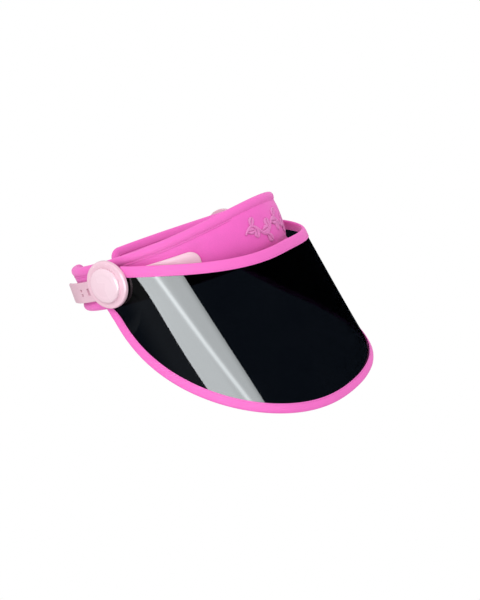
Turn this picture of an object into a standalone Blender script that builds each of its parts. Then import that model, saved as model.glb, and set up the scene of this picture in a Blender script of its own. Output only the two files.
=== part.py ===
"""Clip-on sun visor: a padded C-shaped headband with a hinged smoke-tinted face shield.

Frame: +Z up, the front of the visor faces -Y, +X is the wearer's left. The origin is
the middle of the head opening, level with the bottom edge of the headband.
Lengths are in metres.
"""
import bmesh
import bpy
import math
import numpy as np
from mathutils import Matrix, Vector

MM = 0.001
GAP = 0.3 * MM

# Headband: layers of a C-shaped ellipse, open at the back
HEAD_HALF_WIDTH = 76.4 * MM
HEAD_HALF_LENGTH = 96.9 * MM
BAND_END_ANGLE = math.radians(164)
BAND_SIDE_HEIGHT = 41.0 * MM
BAND_FRONT_HEIGHT = 52.0 * MM
BAND_PEAK_SHARPNESS = 4.3
BAND_STATIONS = 72
LINING_THICKNESS = 0.8 * MM
PAD_THICKNESS = 2.0 * MM
HOOP_THICKNESS = 0.7 * MM
HOOP_HEIGHT = 9.0 * MM
COVER_THICKNESS = 0.8 * MM
BINDING_HEIGHT = 8.0 * MM
BINDING_CLOTH = 0.8 * MM
LAYER_END_SETBACK = math.radians(0.6)

# Spring arms outside the band
ARM_THICKNESS = 2.0 * MM
ARM_HEIGHT = 18.6 * MM
ARM_BOTTOM = 9.5 * MM
ARM_FRONT_ANGLE = math.radians(47.0)
ARM_REAR_ANGLE = math.radians(147.0)
ARM_FRONT_RADIUS = 9.0 * MM
ARM_REAR_RADIUS = 4.0 * MM
ARM_STATIONS = 40
SLOT_ANGLES = (math.radians(113.5), math.radians(121.0))
SLOT_WIDTH = 3.2 * MM
SLOT_HEIGHT = 5.6 * MM
SLOT_BRIDGE = 1.8 * MM
RIVET_ANGLES = {"front": math.radians(62.0), "rear": math.radians(105.0)}
RIVET_SHANK = 1.5 * MM
RIVET_HEAD = 3.0 * MM
RIVET_HEAD_HEIGHT = 1.0 * MM

# Hinge through both pivots
PIVOT_Y = 8.5 * MM
PIVOT_Z = 22.7 * MM
BOSS_RADIUS = 12.0 * MM
BOSS_INNER_X = 83.0 * MM
BOSS_OUTER_X = 86.0 * MM
WASHER_RADIUS = 9.0 * MM
WASHER_THICKNESS = 0.8 * MM
PLATE_RADIUS = 9.0 * MM
PIN_RADIUS = 2.0 * MM
PIN_HEAD_RADIUS = 4.6 * MM
PIN_HEAD_HEIGHT = 1.2 * MM

# Face shield: a sheet bent over a superellipse, which flares towards its bottom edge
SHIELD_HALF_WIDTH = 88.9 * MM
SHIELD_REACH = 132.2 * MM
SHIELD_ROUNDNESS = 2.8
SHIELD_TILT = math.radians(108.0)
SHIELD_THICKNESS = 1.0 * MM
SHIELD_STATIONS = 56
SHIELD_ROWS = 7
STATION_CROWDING = 1.35
# Growth of the plan per metre down the sheet; under the knobs it is pressed flat
FLARE_ACROSS = 6.6
FLARE_FORWARD = 3.2
FLAT_RADIUS = 21.5 * MM
FLARE_BLEND = 12.0 * MM
# Edge lines measured down the sheet from the hinge, as polynomials in cos(angle)
SHIELD_TOP_EDGE = (-15.2 * MM, -7.6 * MM, -2.6 * MM)
SHIELD_BOTTOM_EDGE = (29.5 * MM, 116.2 * MM, -64.7 * MM, 23.7 * MM)
TAIL_RADIUS = 18.8 * MM
TAIL_SLOPE = 1.2
TAIL_STEPS = (80, 62, 47, 36, 26, 17, 8)
TAPE_CLOTH = 0.7 * MM
TAPE_CLEARANCE = 0.4 * MM
TOP_TAPE_WIDTH = 9.0 * MM
BOTTOM_TAPE_WIDTH = 7.6 * MM
TOP_TAPE_START = 13.0 * MM
BOTTOM_TAPE_START = -8.0 * MM

# Round knobs over the shield ends
KNOB_RADIUS = 20.8 * MM
KNOB_THICKNESS = 4.2 * MM
KNOB_EDGE_RADIUS = 1.4 * MM
KNOB_RECESS_RADIUS = 6.5 * MM
CAP_RADIUS = 13.4 * MM
CAP_HEIGHT = 4.6 * MM
NUT_RADIUS = 4.2 * MM
NUT_HEIGHT = 2.0 * MM
TURNED_SEGMENTS = 36
SMALL_SEGMENTS = 16

# Embroidered vine on the forehead
VINE_HALF_ANGLE = math.radians(15.0)
VINE_MID_HEIGHT = 27.0 * MM
VINE_SWING = 6.0 * MM
VINE_WAVES = 2
VINE_WIDTH = 4.0 * MM
VINE_THICKNESS = 1.2 * MM

# Offsets of the layers from the inner face of the band
PAD_INNER = LINING_THICKNESS + GAP
PAD_OUTER = PAD_INNER + PAD_THICKNESS
HOOP_INNER = PAD_OUTER + GAP
HOOP_OUTER = HOOP_INNER + HOOP_THICKNESS
COVER_INNER = HOOP_OUTER + GAP
COVER_OUTER = COVER_INNER + COVER_THICKNESS
ARM_INNER = COVER_OUTER + GAP
ARM_OUTER = ARM_INNER + ARM_THICKNESS
ARM_MID_HEIGHT = ARM_BOTTOM + ARM_HEIGHT / 2
WASHER_X = BOSS_OUTER_X + GAP
PLATE_X = WASHER_X + WASHER_THICKNESS + GAP
SHEET_INNER_X = SHIELD_HALF_WIDTH - SHIELD_THICKNESS / 2
SHEET_OUTER_X = SHIELD_HALF_WIDTH + SHIELD_THICKNESS / 2
PLATE_THICKNESS = SHEET_INNER_X - GAP - PLATE_X
KNOB_SEAT_X = SHEET_OUTER_X + GAP
KNOB_BACK_X = SHEET_OUTER_X + TAPE_CLEARANCE + TAPE_CLOTH + GAP
KNOB_FACE_X = KNOB_BACK_X + KNOB_THICKNESS
NUT_X = KNOB_FACE_X - NUT_HEIGHT - GAP
BORE_RADIUS = PIN_RADIUS + GAP

SIDES = (("right", -1), ("left", 1))


def clear_scene():
    for item in list(bpy.data.objects):
        bpy.data.objects.remove(item, do_unlink=True)


def material(name, colour, roughness, metallic=0.0):
    made = bpy.data.materials.new(name)
    made.use_nodes = True
    shader = made.node_tree.nodes["Principled BSDF"]
    shader.inputs["Base Color"].default_value = (*colour, 1.0)
    shader.inputs["Roughness"].default_value = roughness
    shader.inputs["Metallic"].default_value = metallic
    return made


def object_from(bm, name, finish):
    bmesh.ops.recalc_face_normals(bm, faces=bm.faces)
    mesh = bpy.data.meshes.new(name)
    bm.to_mesh(mesh)
    bm.free()
    mesh.shade_smooth()
    mesh.set_sharp_from_angle(angle=math.radians(40))
    made = bpy.data.objects.new(name, mesh)
    bpy.context.scene.collection.objects.link(made)
    made.data.materials.append(finish)
    return made


def bridge_rings(rings, name, finish):
    """One closed body from equal vertex rings; the two end rings are capped."""
    bm = bmesh.new()
    loops = [[bm.verts.new(point) for point in ring] for ring in rings]
    count = len(loops[0])
    for first, second in zip(loops, loops[1:]):
        for i in range(count):
            j = (i + 1) % count
            bm.faces.new((first[i], first[j], second[j], second[i]))
    bm.faces.new(loops[0])
    bm.faces.new(loops[-1][::-1])
    return object_from(bm, name, finish)


def cut(target, cutter):
    cutter.hide_render = True
    cutter.display_type = "WIRE"
    modifier = target.modifiers.new("cut", "BOOLEAN")
    modifier.object = cutter
    modifier.operation = "DIFFERENCE"
    modifier.solver = "EXACT"


def box_cutter(name, centre, size, turn, finish):
    bm = bmesh.new()
    bmesh.ops.create_cube(bm, size=1.0)
    shape = Matrix.Translation(centre) @ turn.to_4x4() @ Matrix.Diagonal((*size, 1.0))
    bmesh.ops.transform(bm, matrix=shape, verts=bm.verts)
    return object_from(bm, name, finish)


# Headband geometry

def band_normal(angle):
    normal = Vector((HEAD_HALF_LENGTH * math.sin(angle), -HEAD_HALF_WIDTH * math.cos(angle), 0))
    return normal.normalized()


def band_point(angle, offset, height):
    """Point on the band; angle 0 is the forehead, positive towards the wearer's left."""
    foot = Vector((HEAD_HALF_WIDTH * math.sin(angle), -HEAD_HALF_LENGTH * math.cos(angle), height))
    return foot + offset * band_normal(angle)


def band_top(angle):
    rise = ((1 + math.cos(angle)) / 2) ** BAND_PEAK_SHARPNESS
    return BAND_SIDE_HEIGHT + (BAND_FRONT_HEIGHT - BAND_SIDE_HEIGHT) * rise


def spread(start, stop, count):
    return [start + (stop - start) * i / (count - 1) for i in range(count)]


def arc_table(start, stop, offset, steps=400):
    """Angles and running lengths along the band at an offset."""
    angles = np.linspace(start, stop, steps)
    points = np.array([band_point(a, offset, 0.0) for a in angles])
    lengths = np.concatenate([[0.0], np.cumsum(np.linalg.norm(np.diff(points, axis=0), axis=1))])
    return angles, lengths


def band_layer(name, inner, outer, finish, low, high):
    """A cloth, foam or spring layer with level functions low and high of the angle."""
    end = BAND_END_ANGLE - LAYER_END_SETBACK
    rings = []
    for angle in spread(-end, end, BAND_STATIONS):
        bottom, top = low(angle), high(angle)
        rings.append([band_point(angle, inner, bottom), band_point(angle, outer, bottom),
                      band_point(angle, outer, top), band_point(angle, inner, top)])
    return bridge_rings(rings, name, finish)


def binding_section():
    """U section that folds over an edge: (offset across the band, distance from the edge)."""
    inside = -GAP
    outside = COVER_OUTER + GAP
    skin = BINDING_CLOTH
    crown = skin + GAP
    return [(outside, BINDING_HEIGHT), (outside + skin, BINDING_HEIGHT), (outside + skin, 0.0),
            (outside - skin, -crown), (inside + skin, -crown), (inside - skin, 0.0),
            (inside - skin, BINDING_HEIGHT), (inside, BINDING_HEIGHT), (inside, -GAP), (outside, -GAP)]


def edge_binding(name, finish, edge, sense):
    """Binding along the top (sense -1) or bottom (sense 1) edge of the band."""
    rings = []
    for angle in spread(-BAND_END_ANGLE, BAND_END_ANGLE, BAND_STATIONS):
        level = edge(angle)
        rings.append([band_point(angle, across, level + sense * along)
                      for across, along in binding_section()])
    return bridge_rings(rings, name, finish)


def headband(finishes):
    crown = BINDING_CLOTH + GAP

    def low(angle):
        return crown

    def high(angle):
        return band_top(angle) - crown

    def hoop_low(angle):
        return ARM_MID_HEIGHT - HOOP_HEIGHT / 2

    def hoop_high(angle):
        return ARM_MID_HEIGHT + HOOP_HEIGHT / 2

    band_layer("sweatband_lining", 0.0, LINING_THICKNESS, finishes["lining"], low, high)
    band_layer("foam_pad", PAD_INNER, PAD_OUTER, finishes["foam"], low, high)
    hoop = band_layer("spring_hoop", HOOP_INNER, HOOP_OUTER, finishes["steel"], hoop_low, hoop_high)
    cover = band_layer("band_cover", COVER_INNER, COVER_OUTER, finishes["cloth"], low, high)
    edge_binding("top_binding", finishes["tape"], high, -1)
    edge_binding("bottom_binding", finishes["tape"], low, 1)
    return hoop, cover


def forehead_vine(finish):
    """A wavy raised stem, one closed strip that follows the forehead."""
    rings = []
    for angle in spread(-VINE_HALF_ANGLE, VINE_HALF_ANGLE, 40):
        share = angle / VINE_HALF_ANGLE
        middle = VINE_MID_HEIGHT + VINE_SWING * math.sin(math.pi * VINE_WAVES * share)
        taper = 0.35 + 0.65 * math.sqrt(1 - 0.95 * share * share)
        half = taper * VINE_WIDTH / 2
        low = COVER_OUTER + GAP
        high = low + VINE_THICKNESS
        rings.append([band_point(angle, low, middle - half), band_point(angle, high, middle - half * 0.5),
                      band_point(angle, high, middle + half * 0.5), band_point(angle, low, middle + half)])
    return bridge_rings(rings, "embroidered_vine", finish)


# Spring arms

def arm_half_height(from_front, from_rear):
    """Half height of the arm near its round front and rear ends."""
    half = ARM_HEIGHT / 2
    for run, radius in ((from_front, ARM_FRONT_RADIUS), (from_rear, ARM_REAR_RADIUS)):
        if run < radius:
            half = min(half, ARM_HEIGHT / 2 - radius + math.sqrt(radius ** 2 - (radius - run) ** 2))
    return half


def arm_stations(length):
    """Running lengths along the arm, close together over its round ends."""
    corner = [(1 - math.cos(math.radians(step))) for step in (18, 36, 54, 72, 90)]
    front = [ARM_FRONT_RADIUS * c for c in corner]
    rear = [length - ARM_REAR_RADIUS * c for c in reversed(corner)]
    middle = spread(front[-1], rear[0], ARM_STATIONS)[1:-1]
    return front + middle + rear


def spring_arm(name, side, finish):
    angles, lengths = arc_table(ARM_FRONT_ANGLE, ARM_REAR_ANGLE, ARM_INNER)
    total = lengths[-1]
    rings = []
    for run in arm_stations(total):
        angle = side * float(np.interp(run, lengths, angles))
        half = arm_half_height(run, total - run)
        rings.append([band_point(angle, ARM_INNER, ARM_MID_HEIGHT - half),
                      band_point(angle, ARM_OUTER, ARM_MID_HEIGHT - half),
                      band_point(angle, ARM_OUTER, ARM_MID_HEIGHT + half),
                      band_point(angle, ARM_INNER, ARM_MID_HEIGHT + half)])
    arm = bridge_rings(rings, name, finish)
    boss = turned(name + "_boss", side, [(BOSS_INNER_X, 0.0), (BOSS_INNER_X, BOSS_RADIUS),
                                         (BOSS_OUTER_X, BOSS_RADIUS), (BOSS_OUTER_X, 0.0)], finish)
    join = arm.modifiers.new("boss", "BOOLEAN")
    join.object = boss
    join.operation = "UNION"
    join.solver = "EXACT"
    boss.hide_render = True
    boss.display_type = "WIRE"
    head_seat = BOSS_OUTER_X - 1.0 * MM
    bore = [(0.9 * HEAD_HALF_WIDTH, 0.0), (0.9 * HEAD_HALF_WIDTH, PIN_HEAD_RADIUS + GAP),
            (head_seat, PIN_HEAD_RADIUS + GAP), (head_seat, BORE_RADIUS),
            (BOSS_OUTER_X + MM, BORE_RADIUS), (BOSS_OUTER_X + MM, 0.0)]
    cut(arm, turned(name + "_bore", side, bore, finish))
    cut_arm_slots(arm, name, side, finish)
    return arm


def cut_arm_slots(arm, name, side, finish):
    """A full slot, and behind it a slot with a bridge across its middle."""
    half = (SLOT_HEIGHT - SLOT_BRIDGE) / 2
    bridge_step = (half + SLOT_BRIDGE) / 2
    openings = [(SLOT_ANGLES[0], 0.0, SLOT_HEIGHT), (SLOT_ANGLES[1], bridge_step, half),
                (SLOT_ANGLES[1], -bridge_step, half)]
    for index, (angle, shift, height) in enumerate(openings):
        centre = band_point(side * angle, (ARM_INNER + ARM_OUTER) / 2, ARM_MID_HEIGHT + shift)
        turn = band_normal(side * angle).to_track_quat("X", "Z").to_matrix()
        size = (2 * ARM_THICKNESS, SLOT_WIDTH, height)
        cut(arm, box_cutter(f"{name}_slot_{index}", centre, size, turn, finish))


def rivet_hole(name, angle, finish):
    radius = RIVET_SHANK + GAP
    return rivet_like(name, angle, [(HOOP_INNER - MM, 0.0), (HOOP_INNER - MM, radius),
                                    (ARM_OUTER + 2 * MM, radius), (ARM_OUTER + 2 * MM, 0.0)], finish)


def lathe(name, profile, origin, axis, finish, segments):
    """Turn an (along, radius) profile about an axis; it starts and ends on the axis or is a loop."""
    turn = Vector(axis).to_track_quat("Z", "Y").to_matrix()
    on_axis = profile[0][1] == 0.0
    rim = profile[1:-1] if on_axis else profile
    bm = bmesh.new()
    loops = []
    for along, radius in rim:
        loop = []
        for i in range(segments):
            angle = 2 * math.pi * i / segments
            local = Vector((radius * math.cos(angle), radius * math.sin(angle), along))
            loop.append(bm.verts.new(origin + turn @ local))
        loops.append(loop)
    pairs = list(zip(loops, loops[1:]))
    if not on_axis:
        pairs.append((loops[-1], loops[0]))
    for first, second in pairs:
        for i in range(segments):
            j = (i + 1) % segments
            bm.faces.new((first[i], first[j], second[j], second[i]))
    if on_axis:
        bm.faces.new(loops[0][::-1])
        bm.faces.new(loops[-1])
    return object_from(bm, name, finish)


def turned(name, side, profile, finish, segments=TURNED_SEGMENTS):
    """A part turned about the hinge line; along is the distance out from the middle plane."""
    origin = Vector((0.0, PIVOT_Y, PIVOT_Z))
    return lathe(name, profile, origin, (side, 0, 0), finish, segments)


def rivet_like(name, angle, profile, finish):
    origin = band_point(angle, 0.0, ARM_MID_HEIGHT)
    return lathe(name, profile, origin, band_normal(angle), finish, SMALL_SEGMENTS)


def arm_rivet(name, angle, finish):
    """Domed rivet through the arm, the cover and the spring hoop."""
    seat = ARM_OUTER + GAP
    foot = HOOP_INNER
    dome = [(seat, RIVET_SHANK), (seat, RIVET_HEAD), (seat + 0.4 * RIVET_HEAD_HEIGHT, 0.95 * RIVET_HEAD),
            (seat + RIVET_HEAD_HEIGHT, 0.5 * RIVET_HEAD)]
    profile = [(foot, 0.0), (foot, RIVET_SHANK)] + dome + [(seat + RIVET_HEAD_HEIGHT, 0.0)]
    return rivet_like(name, angle, profile, finish)


# Shield geometry: down the sheet is "fall", forward from the hinge is "reach"

FALL_AXIS = Vector((0.0, -math.cos(SHIELD_TILT), -math.sin(SHIELD_TILT)))
REACH_AXIS = Vector((0.0, -math.sin(SHIELD_TILT), math.cos(SHIELD_TILT)))
HINGE = Vector((0.0, PIVOT_Y, PIVOT_Z))


def polynomial(coefficients, value):
    return sum(c * value ** power for power, c in enumerate(coefficients))


def flare_share(reach, fall):
    """0 where the knobs press the sheet flat, rising towards 1 away from them."""
    distance = math.hypot(reach, fall)
    beyond = max(distance - FLAT_RADIUS, 0.0)
    eased = beyond ** 2 / (2 * FLARE_BLEND) if beyond < FLARE_BLEND else beyond - FLARE_BLEND / 2
    return eased / max(distance, FLAT_RADIUS)


def sheet_point(across, reach, fall):
    """Point on the middle of the sheet, from its place in plan at the hinge level."""
    wide = across * (1 + FLARE_ACROSS * fall * flare_share(reach, fall))
    deep = reach * (1 + FLARE_FORWARD * fall)
    return HINGE + Vector((wide, 0, 0)) + deep * REACH_AXIS + fall * FALL_AXIS


class Station:
    """One line down the shield: its place in plan, its normal there and its two edges."""

    def __init__(self, across, reach, normal_across, normal_reach, top, bottom):
        self.across = across
        self.reach = reach
        self.normal = (normal_across, normal_reach)
        self.top = top
        self.bottom = bottom

    def surface_normal(self, fall):
        step = 0.05 * MM
        aside, ahead = -self.normal[1] * step, self.normal[0] * step
        along = (sheet_point(self.across + aside, self.reach + ahead, fall)
                 - sheet_point(self.across - aside, self.reach - ahead, fall))
        down = (sheet_point(self.across, self.reach, fall + step)
                - sheet_point(self.across, self.reach, fall - step))
        return along.cross(down).normalized()

    def point(self, out, fall):
        return sheet_point(self.across, self.reach, fall) + out * self.surface_normal(fall)


def curved_station(angle):
    sine, cosine = math.sin(angle), max(math.cos(angle), 0.0)
    power = SHIELD_ROUNDNESS
    stretch = (abs(sine) ** power + cosine ** power) ** (-1 / power)
    unit_across, unit_reach = stretch * sine, stretch * cosine
    gradient = Vector((math.copysign(abs(unit_across) ** (power - 1), sine) / SHIELD_HALF_WIDTH,
                       unit_reach ** (power - 1) / SHIELD_REACH)).normalized()
    return Station(SHIELD_HALF_WIDTH * unit_across, SHIELD_REACH * unit_reach, gradient.x, gradient.y,
                   polynomial(SHIELD_TOP_EDGE, cosine), polynomial(SHIELD_BOTTOM_EDGE, cosine))


def front_stations():
    """Curved stations round the front, closer together towards the hinge on each side."""
    turns = [math.copysign(1 - (1 - abs(t)) ** STATION_CROWDING, t) for t in spread(-1, 1, SHIELD_STATIONS)]
    return [curved_station(math.pi / 2 * turn) for turn in turns]


def tail_station(side, back):
    """Flat end of the sheet behind the hinge: a round outline, cut straight below."""
    half = math.sqrt(TAIL_RADIUS ** 2 - back ** 2)
    touch = SHIELD_BOTTOM_EDGE[0] * TAIL_SLOPE / (1 + TAIL_SLOPE ** 2)
    bottom = SHIELD_BOTTOM_EDGE[0] - TAIL_SLOPE * back if back < touch else half
    return Station(side * SHIELD_HALF_WIDTH, -back, side, 0.0, max(SHIELD_TOP_EDGE[0], -half), bottom)


def shield_stations():
    turns = [TAIL_RADIUS * math.sin(math.radians(step)) for step in TAIL_STEPS]
    right = [tail_station(-1, back) for back in turns]
    left = [tail_station(1, back) for back in reversed(turns)]
    return right + front_stations() + left


def tape_reaches(stations, edge, width):
    """How far down the sheet a tape of that width reaches at each station."""
    rim = [station.point(0.0, edge(station)) for station in stations]
    reaches = []
    for index, here in enumerate(stations):
        run = (rim[min(index + 1, len(rim) - 1)] - rim[max(index - 1, 0)]).normalized()
        down = here.point(0.0, edge(here) + MM) - here.point(0.0, edge(here) - MM)
        reach = width * 2 * MM / run.cross(down).length
        reaches.append(min(reach, 0.4 * (here.bottom - here.top)))
    return reaches


def shield_lens(finish, stations, upper, lower):
    """The sheet; upper and lower are the reaches of its two tapes."""
    half = SHIELD_THICKNESS / 2
    inset = TAPE_CLOTH + TAPE_CLEARANCE
    rings = []
    for station, high, low in zip(stations, upper, lower):
        falls = [station.top + inset, station.top + high / 2]
        falls += spread(station.top + high, station.bottom - low, SHIELD_ROWS)
        falls += [station.bottom - low / 2, station.bottom - inset]
        inner = [station.point(-half, fall) for fall in falls]
        outer = [station.point(half, fall) for fall in falls]
        rings.append(outer + inner[::-1])
    lens = bridge_rings(rings, "shield_lens", finish)
    for side_name, side in SIDES:
        reach = 5 * MM
        profile = [(SHEET_INNER_X - reach, 0.0), (SHEET_INNER_X - reach, BORE_RADIUS),
                   (SHEET_OUTER_X + reach, BORE_RADIUS), (SHEET_OUTER_X + reach, 0.0)]
        cut(lens, turned(f"lens_bore_{side_name}", side, profile, finish))
    return lens


def tape_section(width):
    """U section over the sheet's edge: (out from the sheet, distance in from the edge)."""
    inner = SHIELD_THICKNESS / 2 + TAPE_CLEARANCE
    outer = inner + TAPE_CLOTH
    return [(inner, width), (outer, width), (outer, width / 2), (outer, 0.6 * TAPE_CLOTH), (inner, 0.0),
            (-inner, 0.0), (-outer, 0.6 * TAPE_CLOTH), (-outer, width / 2), (-outer, width), (-inner, width),
            (-inner, width / 2), (-inner, TAPE_CLOTH), (inner, TAPE_CLOTH), (inner, width / 2)]


def shield_tape(name, finish, stations, reaches, start, edge, sense):
    """Tape along the top (sense 1) or bottom (sense -1) edge, from start forward of the hinge."""
    rings = []
    for here, width in zip(stations, reaches):
        if here.reach >= start:
            rings.append([here.point(out, edge(here) + sense * along) for out, along in tape_section(width)])
    return bridge_rings(rings, name, finish)


def shield(finishes):
    stations = shield_stations()

    def top_edge(station):
        return station.top

    def bottom_edge(station):
        return station.bottom

    upper = tape_reaches(stations, top_edge, TOP_TAPE_WIDTH)
    lower = tape_reaches(stations, bottom_edge, BOTTOM_TAPE_WIDTH)
    shield_lens(finishes["lens"], stations, upper, lower)
    shield_tape("shield_top_tape", finishes["tape"], stations, upper, TOP_TAPE_START, top_edge, 1)
    shield_tape("shield_bottom_tape", finishes["tape"], stations, lower, BOTTOM_TAPE_START, bottom_edge, -1)


# Hinge hardware and knobs

def pivot_hardware(side_name, side, finishes):
    head_back = BOSS_OUTER_X - 1.0 * MM - GAP - PIN_HEAD_HEIGHT
    pin_end = KNOB_FACE_X - GAP
    turned("pivot_pin_" + side_name, side,
           [(head_back, 0.0), (head_back, PIN_HEAD_RADIUS), (head_back + PIN_HEAD_HEIGHT, PIN_HEAD_RADIUS),
            (head_back + PIN_HEAD_HEIGHT, PIN_RADIUS), (pin_end, PIN_RADIUS), (pin_end, 0.0)],
           finishes["steel"], SMALL_SEGMENTS)
    turned("friction_washer_" + side_name, side,
           flat_ring(WASHER_X, WASHER_THICKNESS, BORE_RADIUS, WASHER_RADIUS), finishes["washer"])
    turned("hub_plate_" + side_name, side,
           flat_ring(PLATE_X, PLATE_THICKNESS, BORE_RADIUS, PLATE_RADIUS), finishes["plastic"])
    turned("pivot_nut_" + side_name, side,
           flat_ring(NUT_X, NUT_HEIGHT, BORE_RADIUS, NUT_RADIUS), finishes["steel"], 6)


def flat_ring(start, thickness, bore, radius):
    stop = start + thickness
    return [(start, bore), (start, radius), (stop, radius), (stop, bore)]


def knob_base(side_name, side, finish):
    """Round disc with a soft edge, a boss down to the sheet and a recess for the nut."""
    edge = KNOB_EDGE_RADIUS
    corner = [(KNOB_FACE_X - edge + edge * math.sin(math.radians(a)),
               KNOB_RADIUS - edge + edge * math.cos(math.radians(a))) for a in (0, 30, 60, 90)]
    floor = NUT_X - GAP
    profile = [(KNOB_SEAT_X, BORE_RADIUS), (KNOB_SEAT_X, PLATE_RADIUS), (KNOB_BACK_X, PLATE_RADIUS),
               (KNOB_BACK_X, KNOB_RADIUS)] + corner
    profile += [(KNOB_FACE_X, KNOB_RECESS_RADIUS), (floor, KNOB_RECESS_RADIUS), (floor, BORE_RADIUS)]
    return turned("knob_base_" + side_name, side, profile, finish)


def knob_cap(side_name, side, finish):
    """Raised flat-topped cap over the nut."""
    seat = KNOB_FACE_X + GAP
    edge = KNOB_EDGE_RADIUS
    top = seat + CAP_HEIGHT
    corner = [(top - edge + edge * math.sin(math.radians(a)),
               CAP_RADIUS - 1.4 * edge + edge * math.cos(math.radians(a))) for a in (0, 30, 60, 90)]
    profile = [(seat, 0.0), (seat, CAP_RADIUS)] + corner + [(top, 0.0)]
    return turned("knob_cap_" + side_name, side, profile, finish)


def build():
    clear_scene()
    pink = (0.97, 0.15, 0.62)
    finishes = {
        "tape": material("tape_pink", pink, 0.8),
        "cloth": material("cloth_pink", (0.87, 0.11, 0.54), 0.85),
        "thread": material("thread_pink", (0.9, 0.16, 0.6), 0.5),
        "lining": material("lining_pink", (0.7, 0.08, 0.42), 0.9),
        "foam": material("foam_white", (0.85, 0.83, 0.82), 0.95),
        "plastic": material("plastic_blush", (0.96, 0.68, 0.78), 0.35),
        "lens": material("smoke_sheet", (0.01, 0.012, 0.016), 0.08),
        "steel": material("steel", (0.6, 0.6, 0.6), 0.3, metallic=1.0),
        "washer": material("washer_grey", (0.2, 0.2, 0.2), 0.6),
    }
    hoop, cover = headband(finishes)
    forehead_vine(finishes["thread"])
    shield(finishes)
    for side_name, side in SIDES:
        arm = spring_arm("spring_arm_" + side_name, side, finishes["plastic"])
        pivot_hardware(side_name, side, finishes)
        knob_base(side_name, side, finishes["plastic"])
        knob_cap(side_name, side, finishes["plastic"])
        for place, angle in RIVET_ANGLES.items():
            arm_rivet(f"arm_rivet_{place}_{side_name}", side * angle, finishes["steel"])
            hole = rivet_hole(f"rivet_hole_{place}_{side_name}", side * angle, finishes["steel"])
            for layer in (arm, cover, hoop):
                cut(layer, hole)


build()
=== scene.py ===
import math

import bmesh
import bpy
import numpy as np
from mathutils import Matrix, Vector
from mathutils.bvhtree import BVHTree


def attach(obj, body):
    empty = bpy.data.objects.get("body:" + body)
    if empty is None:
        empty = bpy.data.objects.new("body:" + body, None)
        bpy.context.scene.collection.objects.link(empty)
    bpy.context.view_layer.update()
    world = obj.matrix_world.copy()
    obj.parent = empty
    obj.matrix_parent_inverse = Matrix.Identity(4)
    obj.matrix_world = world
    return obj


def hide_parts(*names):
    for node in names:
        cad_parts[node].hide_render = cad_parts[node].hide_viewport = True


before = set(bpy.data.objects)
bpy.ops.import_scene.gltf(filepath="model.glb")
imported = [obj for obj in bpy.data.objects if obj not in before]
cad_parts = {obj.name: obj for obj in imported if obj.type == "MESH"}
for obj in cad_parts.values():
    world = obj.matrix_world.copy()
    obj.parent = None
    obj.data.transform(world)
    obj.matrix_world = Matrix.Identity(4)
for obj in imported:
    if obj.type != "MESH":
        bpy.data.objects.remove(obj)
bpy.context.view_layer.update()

MM = 0.001

# Headband
HEAD_HALF_WIDTH = 76.4 * MM
HEAD_HALF_LENGTH = 96.9 * MM
BAND_END_ANGLE = math.radians(164)
BAND_SIDE_HEIGHT = 41.0 * MM
BAND_FRONT_HEIGHT = 52.0 * MM
BAND_PEAK_SHARPNESS = 4.3
EDGE_INSET = 1.1 * MM
CORNER_RADIUS = 9.0 * MM
BINDING_HEIGHT = 8.0 * MM
PANEL_INNER = 1.1 * MM
PANEL_OUTER = 5.2 * MM
PUFF_LIMIT = 2.4 * MM
PUFF_PRESSURE = 4000.0
PUFF_FRAMES = 20
SEAM_OVERLAP = 0.5 * MM
LINING_THICKNESS = 0.8 * MM
LINING_CROWN = 0.9 * MM
LINING_DIMPLE = 0.12 * MM
DIMPLE_WAVE = 7.0 * MM
LINING_INSET = 0.5 * MM
ARM_MARGIN = 1.5 * MM
ARM_END_MARGIN = 0.02
STITCH_PITCH = 2.8 * MM

# Spring arms and hinge
ARM_INNER = 5.5 * MM
ARM_OUTER = 7.5 * MM
ARM_BOTTOM = 9.5 * MM
ARM_HEIGHT = 18.6 * MM
ARM_MID_HEIGHT = ARM_BOTTOM + ARM_HEIGHT / 2
ARM_FRONT_ANGLE = math.radians(47)
ARM_REAR_ANGLE = math.radians(147)
ARM_FRONT_RADIUS = 9.0 * MM
ARM_REAR_RADIUS = 4.0 * MM
ARM_EDGE_RADIUS = 0.8 * MM
ARM_LIFT = 5.5 * MM
ARM_LIFT_ANGLE = math.radians(108)
SLOT_ANGLES = (math.radians(117.5), math.radians(125.0))
SLOT_WIDTH = 3.6 * MM
SLOT_HEIGHT = 6.4 * MM
SLOT_BRIDGE = 1.8 * MM
RIVET_ANGLES = {"front": math.radians(62), "rear": math.radians(105)}
HINGE = np.array([0.0, 8.5 * MM, 22.7 * MM])

# Shield
SHIELD_HALF_WIDTH = 88.9 * MM
SHIELD_REACH = 132.2 * MM
SHIELD_ROUNDNESS = 2.8
SHIELD_TILT = math.radians(108)
FLARE_ACROSS = 6.6
FLARE_FORWARD = 3.2
FLAT_RADIUS = 21.5 * MM
FLARE_BLEND = 12.0 * MM
SHIELD_TOP_EDGE = (-15.2 * MM, -7.6 * MM, -2.6 * MM)
SHIELD_BOTTOM_EDGE = (29.5 * MM, 116.2 * MM, -64.7 * MM, 23.7 * MM)
TAIL_RADIUS = 18.8 * MM
TAIL_SLOPE = 1.2
TOP_TAPE_WIDTH = 9.0 * MM
BOTTOM_TAPE_WIDTH = 7.6 * MM
TOP_TAPE_START = 13.0 * MM
BOTTOM_TAPE_START = -8.0 * MM
TAPE_SKIN = 0.6 * MM
SHEET_THICKNESS = 1.0 * MM
SHEET_INSET = 1.1 * MM
FALL_AXIS = np.array([0.0, -math.cos(SHIELD_TILT), -math.sin(SHIELD_TILT)])
REACH_AXIS = np.array([0.0, -math.sin(SHIELD_TILT), math.cos(SHIELD_TILT)])

SIDES = (("right", -1), ("left", 1))


# -------------------- materials

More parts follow.
